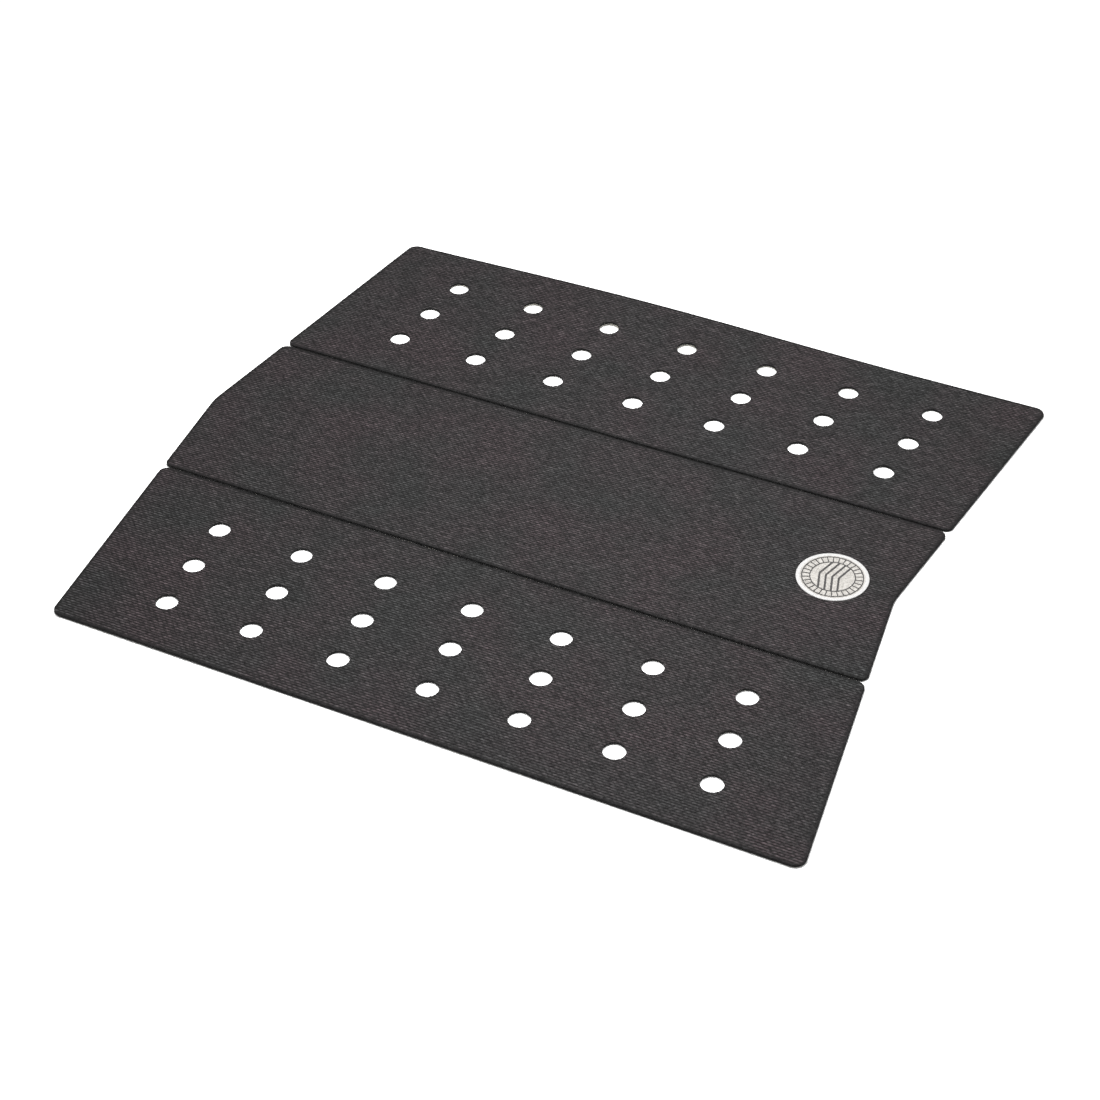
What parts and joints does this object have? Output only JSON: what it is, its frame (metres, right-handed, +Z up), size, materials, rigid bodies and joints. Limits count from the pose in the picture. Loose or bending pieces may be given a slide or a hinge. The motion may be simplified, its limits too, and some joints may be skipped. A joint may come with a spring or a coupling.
{
  "type": "three-piece deck traction pad",
  "caption": "Thin black foam traction pad for a board's deck, in separate side-by-side panels forming a shallow chevron, with punched drain holes and a round badge.",
  "frame": {"origin": "under the middle of the whole pad, at the liners' underside", "axes": "+Z up out of the textured top; +X along the seams, from the pointed end towards the notched end, which carries the badge; +Y across the panels, from the left one to the right one as seen looking from the badge towards the point"},
  "size_m": [0.4296, 0.3872, 0.002],
  "materials": {
    "black_foam": "matt closed-cell foam with fine moulded rows and a grainy skin",
    "adhesive_film": "clear glossy pressure-sensitive film, dark over the black foam",
    "release_liner": "silicone-coated paper, satin",
    "badge_light": "soft moulded badge, satin",
    "badge_dark": "dark raised line pattern, matt"
  },
  "bodies": {
    "centre_liner": {"centre_liner": "release_liner"},
    "centre_panel": {"centre_adhesive": "adhesive_film", "centre_foam": "black_foam", "badge_adhesive": "adhesive_film", "badge_disc": "badge_light", "badge_pattern": "badge_dark"},
    "left_liner": {"left_liner": "release_liner"},
    "left_panel": {"left_adhesive": "adhesive_film", "left_foam": "black_foam"},
    "right_liner": {"right_liner": "release_liner"},
    "right_panel": {"right_adhesive": "adhesive_film", "right_foam": "black_foam"}
  },
  "joints": [
    {"name": "left_spacing", "type": "slide", "parent": "centre_liner", "child": "left_liner", "axis": [0, -1, 0], "range_m": [0, 0.03]},
    {"name": "right_spacing", "type": "slide", "parent": "centre_liner", "child": "right_liner", "axis": [0, 1, 0], "range_m": [0, 0.03]},
    {"name": "centre_lift", "type": "slide", "parent": "centre_liner", "child": "centre_panel", "axis": [0, 0, 1], "range_m": [0, 0.05]},
    {"name": "left_lift", "type": "slide", "parent": "left_liner", "child": "left_panel", "axis": [0, 0, 1], "range_m": [0, 0.05]},
    {"name": "right_lift", "type": "slide", "parent": "right_liner", "child": "right_panel", "axis": [0, 0, 1], "range_m": [0, 0.05]}
  ]
}
